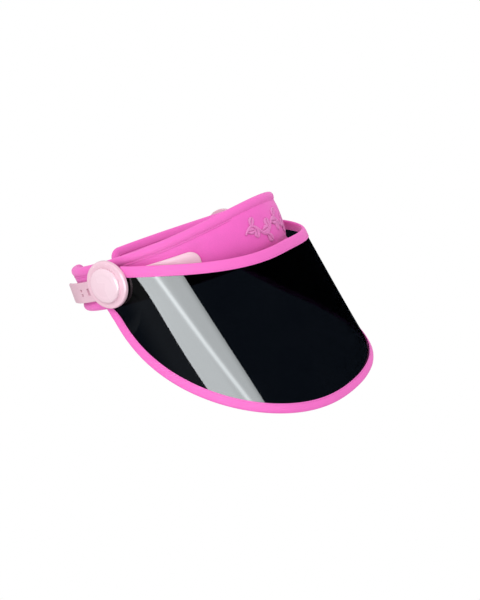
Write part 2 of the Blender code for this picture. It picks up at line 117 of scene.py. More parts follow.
def new_material(name, colour, roughness):
    made = bpy.data.materials.new(name)
    made.use_nodes = True
    shader = made.node_tree.nodes["Principled BSDF"]
    set_inputs(shader, Base_Color=(*colour, 1.0), Roughness=roughness)
    return made, shader


def add_node(material, kind, **settings):
    node = material.node_tree.nodes.new(kind)
    for key, value in settings.items():
        setattr(node, key, value)
    return node


def set_inputs(node, **values):
    """Constants straight on a node's sockets; an underscore stands for a space in a name."""
    for socket, value in values.items():
        node.inputs[socket.replace("_", " ")].default_value = value


def link(material, source, output, target, socket):
    material.node_tree.links.new(source.outputs[output], target.inputs[socket])


def noise(material, scale, detail):
    """Noise in the piece's own coordinates; scale is in cells per metre."""
    place = add_node(material, "ShaderNodeTexCoord")
    made = add_node(material, "ShaderNodeTexNoise")
    set_inputs(made, Scale=scale, Detail=detail, Roughness=0.55)
    link(material, place, "Object", made, "Vector")
    return made


def vary_roughness(material, shader, low, high, source):
    """Roughness running from low to high with a noise texture's value."""
    made = add_node(material, "ShaderNodeMapRange")
    set_inputs(made, From_Min=0.3, From_Max=0.7, To_Min=low, To_Max=high)
    link(material, source, "Fac", made, "Value")
    link(material, made, "Result", shader, "Roughness")


def vary_colour(material, shader, colour, shade, source, output):
    """Base colour running from shade to colour with a texture's value."""
    ramp = add_node(material, "ShaderNodeValToRGB")
    for stop, place, tint in zip(ramp.color_ramp.elements, (0.3, 0.7), (shade, colour)):
        stop.position = place
        stop.color = (*tint, 1.0)
    link(material, source, output, ramp, "Fac")
    link(material, ramp, "Color", shader, "Base Color")


def add_bump(material, shader, source, output, strength, distance):
    bump = add_node(material, "ShaderNodeBump")
    set_inputs(bump, Strength=strength, Distance=distance)
    link(material, source, output, bump, "Height")
    link(material, bump, "Normal", shader, "Normal")


def math_node(material, operation, first, second):
    made = add_node(material, "ShaderNodeMath", operation=operation)
    for index, value in enumerate((first, second)):
        if isinstance(value, tuple):
            material.node_tree.links.new(value[0].outputs[value[1]], made.inputs[index])
        else:
            made.inputs[index].default_value = value
    return made


WAVE_TURN = 2 * math.pi / 20.0  # scale at which the wave texture repeats once a metre


def cloth_material(name, colour, pitch, depth, rib, shade, sheen=0.25, roughness=0.85):
    """Knitted cloth: crossing ribs along the cloth's own length and width, with mottled dye."""
    made, shader = new_material(name, colour, roughness)
    set_inputs(shader, Specular_IOR_Level=0.25, Sheen_Weight=sheen, Sheen_Roughness=0.45,
               Sheen_Tint=(1.0, 0.75, 0.92, 1.0))
    grain = noise(made, 90.0, 4.0)
    mottle = noise(made, 1400.0, 2.0)
    both = math_node(made, "MULTIPLY_ADD", (grain, "Fac"), 0.6)
    made.node_tree.links.new(mottle.outputs["Fac"], both.inputs[2])
    half = math_node(made, "MULTIPLY", (both, "Value"), 0.62)
    vary_colour(made, shader, colour, tuple(c * shade for c in colour), half, "Value")
    lay = add_node(made, "ShaderNodeUVMap", uv_map="cloth")
    waves = []
    for direction, share in (("X", 1.0), ("Y", rib)):
        wave = add_node(made, "ShaderNodeTexWave", bands_direction=direction)
        set_inputs(wave, Scale=WAVE_TURN / (pitch * share), Distortion=0.6, Detail=1.0)
        link(made, lay, "UV", wave, "Vector")
        waves.append(wave)
    weave = math_node(made, "MULTIPLY", (waves[0], "Fac"), (waves[1], "Fac"))
    height = math_node(made, "ADD", (weave, "Value"), (mottle, "Fac"))
    add_bump(made, shader, height, "Value", 0.55, depth)
    vary_roughness(made, shader, roughness - 0.07, roughness + 0.07, grain)
    return made


def plastic_material(name, colour, shade, roughness, coat=0.0):
    """Moulded plastic with a fine spark-eroded grain and faint flow marks."""
    made, shader = new_material(name, colour, roughness)
    set_inputs(shader, Specular_IOR_Level=0.45, Coat_Weight=coat, Coat_Roughness=0.12)
    flow = noise(made, 28.0, 2.0)
    grain = noise(made, 2600.0, 2.0)
    vary_colour(made, shader, colour, shade, flow, "Fac")
    add_bump(made, shader, grain, "Fac", 0.3, 0.04 * MM)
    vary_roughness(made, shader, roughness - 0.05, roughness + 0.07, flow)
    return made


def metal_material(name, colour, roughness):
    """Plated steel with fine turning marks."""
    made, shader = new_material(name, colour, roughness)
    set_inputs(shader, Metallic=1.0)
    marks = noise(made, 3200.0, 2.0)
    stain = noise(made, 220.0, 3.0)
    vary_colour(made, shader, colour, tuple(c * 0.8 for c in colour), stain, "Fac")
    add_bump(made, shader, marks, "Fac", 0.25, 0.03 * MM)
    vary_roughness(made, shader, roughness - 0.08, roughness + 0.1, stain)
    return made


def thread_material(name, colour):
    """Twisted satin thread."""
    made, shader = new_material(name, colour, 0.42)
    set_inputs(shader, Specular_IOR_Level=0.6, Sheen_Weight=0.3, Sheen_Tint=(1.0, 0.85, 0.95, 1.0))
    twist = noise(made, 2400.0, 2.0)
    vary_colour(made, shader, colour, tuple(c * 0.78 for c in colour), twist, "Fac")
    add_bump(made, shader, twist, "Fac", 0.4, 0.06 * MM)
    vary_roughness(made, shader, 0.34, 0.5, twist)
    return made


def smoke_material(name):
    """Dark smoke-tinted clear sheet, glossy on both faces, with the faintest haze."""
    made, shader = new_material(name, (0.003, 0.0042, 0.0065), 0.03)
    set_inputs(shader, IOR=1.5, Transmission_Weight=1.0)
    haze = noise(made, 26.0, 4.0)
    vary_colour(made, shader, (0.0033, 0.0046, 0.007), (0.0026, 0.0037, 0.006), haze, "Fac")
    vary_roughness(made, shader, 0.02, 0.05, haze)
    return made


def glowing_material(name):
    """Even white surface that only shines."""
    made, shader = new_material(name, (0.0, 0.0, 0.0), 0.9)
    set_inputs(shader, Specular_IOR_Level=0.0, Emission_Color=(1.0, 1.0, 1.0, 1.0), Emission_Strength=1.0)
    return made


TAPE_PINK = (0.83, 0.142, 0.525)
PANEL_PINK = (0.84, 0.13, 0.53)
LINING_PINK = (0.64, 0.06, 0.34)
BLUSH = (0.84, 0.63, 0.71)
BLUSH_DEEP = (0.82, 0.555, 0.65)
finishes = {
    "tape": cloth_material("folded_tape_cloth", TAPE_PINK, 0.55 * MM, 0.08 * MM, 1.3, 0.92),
    "panel": cloth_material("panel_knit_cloth", PANEL_PINK, 0.7 * MM, 0.12 * MM, 1.2, 0.88, 0.35),
    "lining": cloth_material("terry_lining_cloth", LINING_PINK, 1.1 * MM, 0.35 * MM, 1.0, 0.8, 0.5, 0.95),
    "thread": thread_material("satin_thread", (0.86, 0.23, 0.60)),
    "stitch": thread_material("sewing_thread", (0.70, 0.09, 0.42)),
    "arm": plastic_material("arm_moulded_plastic", BLUSH_DEEP, (0.78, 0.50, 0.60), 0.42),
    "knob": plastic_material("knob_moulded_plastic", BLUSH_DEEP, (0.79, 0.51, 0.61), 0.3, 0.15),
    "cap": plastic_material("cap_moulded_plastic", BLUSH, (0.82, 0.565, 0.655), 0.22, 0.3),
    "smoke": smoke_material("smoke_tinted_sheet"),
    "steel": metal_material("plated_steel", (0.58, 0.58, 0.6), 0.3),
    "spring": metal_material("blued_spring_steel", (0.16, 0.18, 0.24), 0.38),
    "nylon": plastic_material("natural_nylon", (0.72, 0.7, 0.66), (0.66, 0.64, 0.58), 0.5),
    "studio": glowing_material("studio_white"),
}


# -------------------- mesh tools

def unit(vectors):
    return vectors / np.linalg.norm(vectors, axis=-1, keepdims=True)


def add_object(name, data):
    made = bpy.data.objects.new(name, data)
    bpy.context.scene.collection.objects.link(made)
    return made


def add_mesh(name, points, faces, finish, lays=None):
    """Object from points and faces; lays holds each face corner's place on the flat cloth."""
    mesh = bpy.data.meshes.new(name)
    mesh.from_pydata(np.asarray(points, float).reshape(-1, 3).tolist(), [], faces)
    if lays is not None:
        layer = mesh.uv_layers.new(name="cloth")
        layer.data.foreach_set("uv", np.asarray(lays, np.float32).ravel())
    bm = bmesh.new()
    bm.from_mesh(mesh)
    bmesh.ops.recalc_face_normals(bm, faces=bm.faces)
    bm.to_mesh(mesh)
    bm.free()
    mesh.shade_smooth()
    mesh.materials.append(finishes[finish])
    return add_object(name, mesh)


def shell(name, front, back, finish, along=None, ring=False):
    """Closed skin between two (rows, columns) surfaces; ring joins the last row to the first."""
    rows, columns = front.shape[:2]
    points = np.concatenate([front, back[:, ::-1]], axis=1)
    width = 2 * columns
    steps = np.linalg.norm(np.diff(front, axis=0), axis=2).mean(axis=1)
    lengths = np.concatenate([[0.0], np.cumsum(steps)]) if along is None else along
    across = np.concatenate([[0.0], np.cumsum(np.linalg.norm(np.diff(front, axis=1), axis=2).mean(axis=0))])
    sides = np.concatenate([across, across[::-1]])
    faces, lays = [], []
    for i in range(rows if ring else rows - 1):
        k = (i + 1) % rows
        start = lengths[i]
        stop = lengths[k] if k else start + steps[0]
        for j in range(width):
            m = (j + 1) % width
            faces.append((i * width + j, i * width + m, k * width + m, k * width + j))
            lays += [(start, sides[j]), (start, sides[m]), (stop, sides[m]), (stop, sides[j])]
    if not ring:
        for i in (0, rows - 1):
            for j in range(columns - 1):
                faces.append((i * width + j, i * width + j + 1, i * width + width - 2 - j,
                              i * width + width - 1 - j))
                lays += [(lengths[i], sides[j]), (lengths[i], sides[j + 1]),
                         (lengths[i] + MM, sides[j + 1]), (lengths[i] + MM, sides[j])]
    return add_mesh(name, points, faces, finish, lays)


def distances(line):
    """Distance along a line of points to each of them."""
    return np.concatenate([[0.0], np.cumsum(np.linalg.norm(np.diff(line, axis=0), axis=-1))])


def points_along(line, run, places):
    """Points at the given places along a line whose points lie at run."""
    return np.stack([np.interp(places, run, column) for column in line.T], axis=1)


def offset_profile(profile, thickness):
    """The line a thickness to the right of an open 2-D line, for the inside of a fold."""
    line = np.asarray(profile, float)
    tangent = np.gradient(line, axis=0)
    side = unit(np.stack([tangent[:, 1], -tangent[:, 0]], axis=1))
    return line + thickness * side


def smooth_line(profile, count):
    """Points at even spacing along a rounded line through the profile's points."""
    line = np.asarray(profile, float)
    for _ in range(3):
        early = 0.75 * line[:-1] + 0.25 * line[1:]
        late = 0.25 * line[:-1] + 0.75 * line[1:]
        line = np.concatenate([line[:1], np.stack([early, late], axis=1).reshape(-1, 2), line[-1:]])
    run = distances(line)
    return points_along(line, run, np.linspace(0.0, run[-1], count))


def threads(name, starts, stops, normals, radius, arch, finish, sides=6, rings=6):
    """Short rounded threads from starts to stops that stand up in an arch along normals."""
    starts, stops, normals = (np.asarray(a, float) for a in (starts, stops, normals))
    count = len(starts)
    ahead = unit(stops - starts)
    aside = unit(np.cross(ahead, normals))
    up = np.cross(aside, ahead)
    share = np.linspace(0.0, 1.0, rings)
    lift = arch * np.sin(math.pi * share)
    girth = radius * np.sqrt(np.clip(1 - (2 * share - 1) ** 4, 0.06, 1))
    turn = 2 * math.pi * np.arange(sides) / sides
    centre = (starts[:, None] * (1 - share)[None, :, None] + stops[:, None] * share[None, :, None]
              + up[:, None] * lift[None, :, None])
    circle = (aside[:, None, None] * np.cos(turn)[None, None, :, None]
              + up[:, None, None] * np.sin(turn)[None, None, :, None])
    points = centre[:, :, None] + circle * girth[None, :, None, None]
    faces = []
    block = rings * sides
    for n in range(count):
        base = n * block
        for i in range(rings - 1):
            for j in range(sides):
                m = (j + 1) % sides
                a, b = base + i * sides, base + (i + 1) * sides
                faces.append((a + j, a + m, b + m, b + j))
        faces.append(tuple(base + j for j in reversed(range(sides))))
        faces.append(tuple(base + block - sides + j for j in range(sides)))
    return add_mesh(name, points, faces, finish)


def lathe(name, profile, origin, axis, finish, segments=96):
    """Turn an (along, radius) profile about an axis; it starts and ends on the axis."""
    origin, axis = np.asarray(origin, float), np.asarray(axis, float)
    spare = np.array([0.0, 0.0, 1.0]) if abs(axis[2]) < 0.9 else np.array([1.0, 0.0, 0.0])
    first = unit(np.cross(spare, axis))
    second = np.cross(axis, first)
    turn = 2 * math.pi * np.arange(segments) / segments
    circle = np.cos(turn)[:, None] * first + np.sin(turn)[:, None] * second
    rim = np.asarray(profile, float)
    points = [origin + axis * rim[0, 0]]
    for along, radius in rim[1:-1]:
        points += list(origin + axis * along + circle * radius)
    points.append(origin + axis * rim[-1, 0])
    faces = []
    count = len(rim) - 2
    last = 1 + count * segments
    for j in range(segments):
        m = (j + 1) % segments
        faces.append((0, 1 + m, 1 + j))
        faces.append((last, 1 + (count - 1) * segments + j, 1 + (count - 1) * segments + m))
        for i in range(count - 1):
            a, b = 1 + i * segments, 1 + (i + 1) * segments
            faces.append((a + j, a + m, b + m, b + j))
    made = add_mesh(name, points, faces, finish)
    made.data.set_sharp_from_angle(angle=math.radians(50))
    return made


def rounded_corner(along, radius, size, start, stop, steps=8):
    """Profile points round a corner of the given size, from one angle to another."""
    angles = np.radians(np.linspace(start, stop, steps))
    return [(along + size * math.sin(a), radius + size * math.cos(a)) for a in angles]


# -------------------- headband shape

def band_normal(angle):
    angle = np.asarray(angle, float)
    flat = np.stack([HEAD_HALF_LENGTH * np.sin(angle), -HEAD_HALF_WIDTH * np.cos(angle),
                     np.zeros_like(angle)], axis=-1)
    return unit(flat)


def band_point(angle, offset, height):
    """Points on the band; angle 0 is the forehead, positive towards the wearer's left."""
    angle, offset, height = np.broadcast_arrays(*(np.asarray(a, float) for a in (angle, offset, height)))
    foot = np.stack([HEAD_HALF_WIDTH * np.sin(angle), -HEAD_HALF_LENGTH * np.cos(angle), height], axis=-1)
    return foot + offset[..., None] * band_normal(angle)


def band_top(angle):
    rise = ((1 + np.cos(angle)) / 2) ** BAND_PEAK_SHARPNESS
    return BAND_SIDE_HEIGHT + (BAND_FRONT_HEIGHT - BAND_SIDE_HEIGHT) * rise


RUN_ANGLES = np.linspace(-BAND_END_ANGLE, BAND_END_ANGLE, 2001)
RUN_LENGTHS = distances(band_point(RUN_ANGLES, PANEL_OUTER, 0.0))
RUN_LENGTHS -= RUN_LENGTHS[-1] / 2
RUN_END = RUN_LENGTHS[-1] - EDGE_INSET


def angle_at(run):
    return np.interp(run, RUN_LENGTHS, RUN_ANGLES)


def run_at(angle):
    return np.interp(angle, RUN_ANGLES, RUN_LENGTHS)


def edge_levels(run):
    """Lowest and highest level of the band's layers, with round corners at the two ends."""
    past = np.clip(np.abs(run) - (RUN_END - CORNER_RADIUS), 0.0, CORNER_RADIUS)
    drop = CORNER_RADIUS - np.sqrt(np.maximum(CORNER_RADIUS ** 2 - past ** 2, 0.0))
    return EDGE_INSET + drop, band_top(angle_at(run)) - EDGE_INSET - drop


def end_runs(count, reach):
    """Runs along the band, closer together round its two ends."""
    turn = np.linspace(-1, 1, count)
    return reach * (0.88 * turn + 0.12 * np.sin(turn * math.pi / 2) ** 5)


def band_grid(count, reach, levels):
    """Runs along a layer of the band, its lowest and highest levels, and a grid of places."""
    runs = end_runs(count, reach)
    low, high = (level[:, None] for level in edge_levels(runs))
    height = low + (high - low) * np.linspace(0.0, 1.0, levels)[None, :]
    return runs, low, high, height, np.broadcast_to(angle_at(runs)[:, None], height.shape)


def under_arm(angle, height):
    """Where the spring arm holds the panel down."""
    turn = np.abs(angle)
    inside = (turn > ARM_FRONT_ANGLE - ARM_END_MARGIN) & (turn < ARM_REAR_ANGLE + ARM_END_MARGIN)
    return inside & (np.abs(height - ARM_MID_HEIGHT) < ARM_HEIGHT / 2 + ARM_MARGIN)


def band_panel():
    """Outer cloth over foam: puffed by cloth simulation between its sewn edges and the arms."""
    columns = 20
    runs, low, high, height, angle = band_grid(170, RUN_END, columns)
    front = band_point(angle, PANEL_OUTER, height)
    back = band_point(angle, PANEL_INNER, height)
    panel = shell("band_panel", front, back, "panel", along=runs)
    inside = np.minimum(height - low, high - height)
    inside = np.minimum(inside, (RUN_END - np.abs(runs))[:, None])
    held = under_arm(angle, height)
    rest = np.array([v.co for v in panel.data.vertices])
    out = band_normal(angle_at(runs)).repeat(2 * columns, axis=0)
    free = np.zeros((runs.size, 2 * columns), bool)
    free[:, :columns] = (inside > BINDING_HEIGHT - SEAM_OVERLAP) & ~held
    final = puff(panel, rest, free.ravel(), out)
    panel.data.vertices.foreach_set("co", final.ravel())
    panel.data.update()
    smooth = panel.modifiers.new("smooth", "SUBSURF")
    smooth.levels = smooth.render_levels = 1
    return panel


def puff(piece, rest, free, out):
    """Inflate the free part of a piece with the cloth solver and ease how far it may move."""
    pins = piece.vertex_groups.new(name="pinned")
    for index in np.flatnonzero(~free):
        pins.add([int(index)], 1.0, "REPLACE")
    solver = piece.modifiers.new("cloth", "CLOTH")
    settings = solver.settings
    settings.vertex_group_mass = "pinned"
    settings.use_pressure = True
    settings.uniform_pressure_force = PUFF_PRESSURE
    settings.effector_weights.gravity = 0.0
    settings.quality = 5
    settings.mass = 0.015
    settings.tension_stiffness = settings.compression_stiffness = 5.0
    settings.shear_stiffness = 2.0
    settings.bending_stiffness = 0.2
    solver.collision_settings.use_collision = False
    solver.point_cache.frame_start = 1
    solver.point_cache.frame_end = PUFF_FRAMES
    for step in range(1, PUFF_FRAMES + 1):
        bpy.context.scene.frame_set(step)
    posed = piece.evaluated_get(bpy.context.evaluated_depsgraph_get())
    moved = np.array([v.co for v in posed.data.vertices]) - rest
    piece.modifiers.remove(solver)
    piece.vertex_groups.remove(pins)
    bpy.context.scene.frame_set(1)
    rise = np.clip((moved * out).sum(axis=1), 0.0, None)
    rise = PUFF_LIMIT * np.tanh(rise / PUFF_LIMIT) * free
    return rest + out * rise[:, None]


def band_lining():
    """Soft inner sweatband, crowned slightly towards the head."""
    levels = 26
    runs, low, high, height, angle = band_grid(220, RUN_END - LINING_INSET, levels)
    arch = np.sin(math.pi * np.linspace(0.0, 1.0, levels))[None, :]
    crown = LINING_CROWN * arch ** 0.7
    dimple = LINING_DIMPLE * np.sin(runs / DIMPLE_WAVE)[:, None] * arch
    inner = band_point(angle, -crown + dimple, height)
    outer = band_point(angle, LINING_THICKNESS - crown + dimple, height)
    lining = shell("sweatband_terry", inner, outer, "lining", along=runs)
    return lining, (2 * (RUN_END - LINING_INSET), float((high - low).mean()))


# Half section of the folded edge tape: (offset across the band, distance in from the edge)
BINDING_SKIN = 0.75 * MM
BINDING_SIDE = [(5.95, 8.0), (6.05, 7.5), (5.8, 7.1), (5.35, 6.75), (5.75, 6.35), (6.3, 5.6), (6.75, 4.4),
                (6.85, 3.0), (6.6, 1.5), (5.9, 0.2), (4.6, -0.75), (2.6, -1.1)]
BINDING_MIDDLE = 2.6
# Height of each ripple in the tape, the depth at which it is strongest, and how far it spreads
PUCKER, PUCKER_DEPTH, PUCKER_SPREAD = 0.10 * MM, 6.9 * MM, 1.1 * MM
SWELL, SWELL_DEPTH, SWELL_SPREAD = 0.09 * MM, 3.0 * MM, 2.5 * MM
SWELL_WAVES = (19.0 * MM, 7.3 * MM)
# Stitches: depth in from the edge, (offset, way out) of each row, and share of the pitch covered
BINDING_STITCH_DEPTH = 6.75 * MM
BINDING_STITCH_ROWS = ((5.6 * MM, 1.0), (-0.4 * MM, -1.0))
BINDING_STITCH_SPAN = (0.12, 0.88)
BINDING_THREAD, BINDING_ARCH = 0.2 * MM, 0.12 * MM


def binding_profile():
    right = [(o * MM, d * MM) for o, d in BINDING_SIDE]
    left = [((2 * BINDING_MIDDLE - o) * MM, d * MM) for o, d in reversed(BINDING_SIDE[:-1])]
    return smooth_line(right + left, 40)


def edge_loop(spacing):
    """Closed line round the band's edge as (run, level) with its inward direction."""
    straight = RUN_END - CORNER_RADIUS
    top = np.linspace(-straight, straight, 600)
    bottom = top[::-1][1:-1]
    quarter = np.radians(np.linspace(90, 0, 16))
    out = straight + CORNER_RADIUS * np.cos(quarter)
    drop = CORNER_RADIUS - CORNER_RADIUS * np.sin(quarter)
    upper = np.stack([out, band_top(BAND_END_ANGLE) - EDGE_INSET - drop], axis=1)
    lower = np.stack([out, EDGE_INSET + drop], axis=1)
    corner = np.concatenate([upper[1:], lower[::-1]])
    line = np.concatenate([np.stack([top, band_top(angle_at(top)) - EDGE_INSET], axis=1), corner,
                           np.stack([bottom, np.full_like(bottom, EDGE_INSET)], axis=1),
                           (corner * (-1.0, 1.0))[::-1][1:]])
    closed = np.concatenate([line, line[:1]])
    run = distances(closed)
    even = np.linspace(0.0, run[-1], round(run[-1] / spacing), endpoint=False)
    loop = points_along(closed, run, even)
    tangent = unit(np.roll(loop, -1, axis=0) - np.roll(loop, 1, axis=0))
    inward = np.stack([tangent[:, 1], -tangent[:, 0]], axis=1)
    return loop, inward, even, run[-1]


def on_edge(loop, inward, offset, depth):
    """Points at an offset across the band and a depth in from its edge line."""
    place = loop[:, None, :] + inward[:, None, :] * depth[..., None]
    return band_point(angle_at(place[..., 0]), offset, place[..., 1])


def edge_binding():
    """One folded tape round the whole edge of the band, puckered where it is stitched."""
    loop, inward, even, total = edge_loop(STITCH_PITCH / 3)
    outer = binding_profile()
    inner = offset_profile(outer, BINDING_SKIN)
    pitch = total / round(total / STITCH_PITCH)
    wave = np.cos(2 * math.pi * even / pitch)
    slow = np.sin(even / SWELL_WAVES[0]) + 0.6 * np.sin(even / SWELL_WAVES[1] + 1.3)
    surfaces = []
    for profile in (outer, inner):
        away = np.sign(profile[:, 0] - BINDING_MIDDLE * MM)
        near = np.exp(-((profile[:, 1] - PUCKER_DEPTH) / PUCKER_SPREAD) ** 2)
        roll = np.exp(-((profile[:, 1] - SWELL_DEPTH) / SWELL_SPREAD) ** 2)
        offset = profile[None, :, 0] + away * (PUCKER * wave[:, None] * near + SWELL * slow[:, None] * roll)
        depth = np.broadcast_to(profile[None, :, 1], offset.shape)
        surfaces.append(on_edge(loop, inward, offset, depth))
    binding = shell("edge_binding", surfaces[0], surfaces[1], "tape", along=even, ring=True)
    run = np.append(even, total)
    closed, closed_inward = (np.concatenate([a, a[:1]]) for a in (loop, inward))
    starts, stops, normals = [], [], []
    marks = np.arange(0.0, total - 0.5 * pitch, pitch)
    for offset, way in BINDING_STITCH_ROWS:
        for share, store in zip(BINDING_STITCH_SPAN, (starts, stops)):
            line = points_along(closed, run, marks + share * pitch)
            into = points_along(closed_inward, run, marks + share * pitch)
            row = np.full((len(line), 1), offset)
            store.append(on_edge(line, into, row, np.full_like(row, BINDING_STITCH_DEPTH))[:, 0])
        normals.append(way * band_normal(angle_at(line[:, 0])))
    starts, stops, normals = (np.concatenate(a) for a in (starts, stops, normals))
    sewing = threads("binding_stitches", starts, stops, normals, BINDING_THREAD, BINDING_ARCH, "stitch")
    return binding, sewing, (total, float(distances(outer)[-1]))


# -------------------- embroidery

VINE_HALF_RUN = 29.0 * MM
VINE_MID_HEIGHT = 24.8 * MM
VINE_SWING = 5.2 * MM
VINE_HALF_HEIGHT = 13.0 * MM
LEAF_COUNT = 12
LEAF_TURN = math.radians(52)
LEAF_LENGTH = 10.5 * MM
LEAF_HALF_WIDTH = 3.9 * MM
THREAD_STEP = 0.36 * MM
SEARCH_START = 20.0 * MM
SEARCH_DEPTH = 14.0 * MM
VINE_THREAD = 0.3 * MM
VINE_ARCH = 0.85 * MM


def vine_line(share):
    """Middle of the stem on the flat cloth, for shares from -1 to 1."""
    level = VINE_MID_HEIGHT + VINE_SWING * np.sin(2 * math.pi * share)
    return np.stack([VINE_HALF_RUN * share, level], axis=-1)


def vine_threads():
    """Start and stop of each satin thread on the flat cloth: the stem, then its leaves."""
    starts, stops = [], []
    shares = np.linspace(-1, 1, 230)
    middle = vine_line(shares)
    tangent = unit(np.gradient(middle, axis=0))
    side = np.stack([-tangent[:, 1], tangent[:, 0]], axis=1)
    half = (0.7 + 0.8 * np.sqrt(1 - 0.9 * shares ** 2))[:, None] * MM
    lean = 0.5 * half * tangent
    starts.append(middle - half * side - lean)
    stops.append(middle + half * side + lean)
    for index, share in enumerate(np.linspace(-0.94, 0.94, LEAF_COUNT)):
        root = vine_line(np.array(share))
        ahead = vine_line(np.array(share + 0.01)) - root
        heading = math.atan2(ahead[1], ahead[0]) + (1 if index % 2 else -1) * LEAF_TURN
        rib = np.array([math.cos(heading), math.sin(heading)])
        across = np.array([-rib[1], rib[0]])
        size = 1.0 - 0.25 * abs(share)
        room = (VINE_HALF_HEIGHT - abs(root[1] - VINE_MID_HEIGHT)) / max(abs(rib[1]), 0.35)
        length = min(LEAF_LENGTH * size, room)
        for place in np.arange(0.06, 0.97, THREAD_STEP / length):
            wide = LEAF_HALF_WIDTH * size * math.sin(math.pi * place ** 0.8) ** 0.8
            foot = root + rib * length * place
            for way in (-1, 1):
                starts.append((foot - rib * 0.2 * MM)[None])
                stops.append((foot + rib * 0.55 * wide + across * way * wide)[None])
    return np.concatenate(starts), np.concatenate(stops)


def surface_finder(piece):
    """Function that finds a piece's outer surface over a (run, level) place on the band."""
    posed = piece.evaluated_get(bpy.context.evaluated_depsgraph_get())
    mesh = posed.to_mesh()
    corners = [v.co.copy() for v in mesh.vertices]
    tree = BVHTree.FromPolygons(corners, [tuple(p.vertices) for p in mesh.polygons])
    posed.to_mesh_clear()

    def find(places):
        angles = angle_at(places[:, 0])
        outs = band_normal(angles)
        froms = band_point(angles, SEARCH_START, places[:, 1])
        found = []
        for start, out in zip(froms, outs):
            hit = tree.ray_cast(Vector(start), -Vector(out))[0]
            found.append(hit if hit is not None else Vector(start - out * SEARCH_DEPTH))
        return np.array(found), outs
    return find


def embroidery(find):
    """Satin-stitched vine lying on the forehead of the panel."""
    starts, stops = vine_threads()
    first, outs = find(starts)
    rise = 0.05 * MM * outs
    last = find(stops)[0] + rise
    return threads("embroidered_vine_satin", first + rise, last, outs, VINE_THREAD, VINE_ARCH, "thread",
                   rings=7)


# -------------------- arms

def arm_distance(run, height, front, rear):
    """Distance in from the arm's outline, negative outside."""
    half = ARM_HEIGHT / 2
    radius = np.where(run < (front + rear) / 2, ARM_FRONT_RADIUS, ARM_REAR_RADIUS)
    side = np.minimum(run - front, rear - run)
    level = half - np.abs(height - ARM_MID_HEIGHT)
    corner = (side < radius) & (level < radius)
    round_in = radius - np.hypot(radius - side, radius - level)
    return np.where(corner, round_in, np.minimum(side, level))


def spring_arm(side_name, side):
    """Bent strap with soft edges, a tab with two adjusting slots and a round front end."""
    front, rear = run_at(ARM_FRONT_ANGLE), run_at(ARM_REAR_ANGLE)
    slots = []
    for index, angle in enumerate(SLOT_ANGLES):
        middle = run_at(angle)
        rows = [(-SLOT_HEIGHT / 2, SLOT_HEIGHT / 2)]
        if index:
            rows = [(-SLOT_HEIGHT / 2, -SLOT_BRIDGE / 2), (SLOT_BRIDGE / 2, SLOT_HEIGHT / 2)]
        slots += [(middle - SLOT_WIDTH / 2, middle + SLOT_WIDTH / 2, low, high) for low, high in rows]
    ease = 1 - np.cos(np.radians(np.linspace(0, 90, 14)))
    runs = np.concatenate([front + ARM_FRONT_RADIUS * ease, rear - ARM_REAR_RADIUS * ease,
                           np.arange(front + ARM_FRONT_RADIUS, rear - ARM_REAR_RADIUS, 2 * MM),
                           [edge for slot in slots for edge in slot[:2]]])
    runs = np.unique(np.round(runs, 6))
    runs = runs[np.concatenate([[True], np.diff(runs) > 0.08 * MM])]
    half = ARM_HEIGHT / 2
    rim = half - ARM_EDGE_RADIUS * (1 - np.cos(np.radians(np.linspace(0, 90, 7))))
    levels = np.unique(np.round(np.concatenate([rim, -rim, np.linspace(-8 * MM, 8 * MM, 9),
                                                [level for slot in slots for level in slot[2:]]]), 6))
    limit = np.full(runs.size, half)
    for place, radius in ((runs - front, ARM_FRONT_RADIUS), (rear - runs, ARM_REAR_RADIUS)):
        near = np.clip(radius - place, 0, radius)
        limit = np.minimum(limit, half - radius + np.sqrt(radius ** 2 - near ** 2))
    height = ARM_MID_HEIGHT + levels[None, :] * (limit / half)[:, None]
    run = np.broadcast_to(runs[:, None], height.shape)
    inward = np.clip(arm_distance(run, height, front, rear), 0, ARM_EDGE_RADIUS)
    drop = ARM_EDGE_RADIUS - np.sqrt(ARM_EDGE_RADIUS ** 2 - (ARM_EDGE_RADIUS - inward) ** 2)
    angle = side * angle_at(run)
    past = np.clip((np.abs(angle) - ARM_LIFT_ANGLE) / (ARM_REAR_ANGLE - ARM_LIFT_ANGLE), 0, 1)
    lift = ARM_LIFT * past ** 1.3
    outer = band_point(angle, ARM_OUTER + lift - drop, height)
    inner = band_point(angle, ARM_INNER + lift + 0.4 * drop, height)
    rows, columns = height.shape

    def open_cell(i, j):
        middle_run = (runs[i] + runs[i + 1]) / 2
        middle_level = (levels[j] + levels[j + 1]) / 2
        return any(a < middle_run < b and c < middle_level < d for a, b, c, d in slots)

    holes = {(i, j) for i in range(rows - 1) for j in range(columns - 1) if open_cell(i, j)}
    number = rows * columns

    def corner(layer, i, j):
        return layer * number + i * columns + j

    faces = []
    for i in range(rows - 1):
        for j in range(columns - 1):
            if (i, j) in holes:
                continue
            ring = ((i, j), (i, j + 1), (i + 1, j + 1), (i + 1, j))
            faces.append(tuple(corner(0, *c) for c in ring))
            faces.append(tuple(corner(1, *c) for c in reversed(ring)))
            for k, step in enumerate(((-1, 0), (0, 1), (1, 0), (0, -1))):
                other = (i + step[0], j + step[1])
                outside = not (0 <= other[0] < rows - 1 and 0 <= other[1] < columns - 1)
                if outside or other in holes:
                    a, b = ring[k], ring[(k + 1) % 4]
                    faces.append((corner(0, *a), corner(0, *b), corner(1, *b), corner(1, *a)))
    made = add_mesh(f"arm_strap_{side_name}", np.stack([outer, inner]), faces, "arm")
    made.data.set_sharp_from_angle(angle=math.radians(55))
    return made


def turned(name, side, profile, finish, segments=96):
    """A part turned about the hinge line; along is the distance out from the middle plane."""
    points = [(along * MM, radius * MM) for along, radius in profile]
    return lathe(name, points, HINGE, (side, 0.0, 0.0), finish, segments)


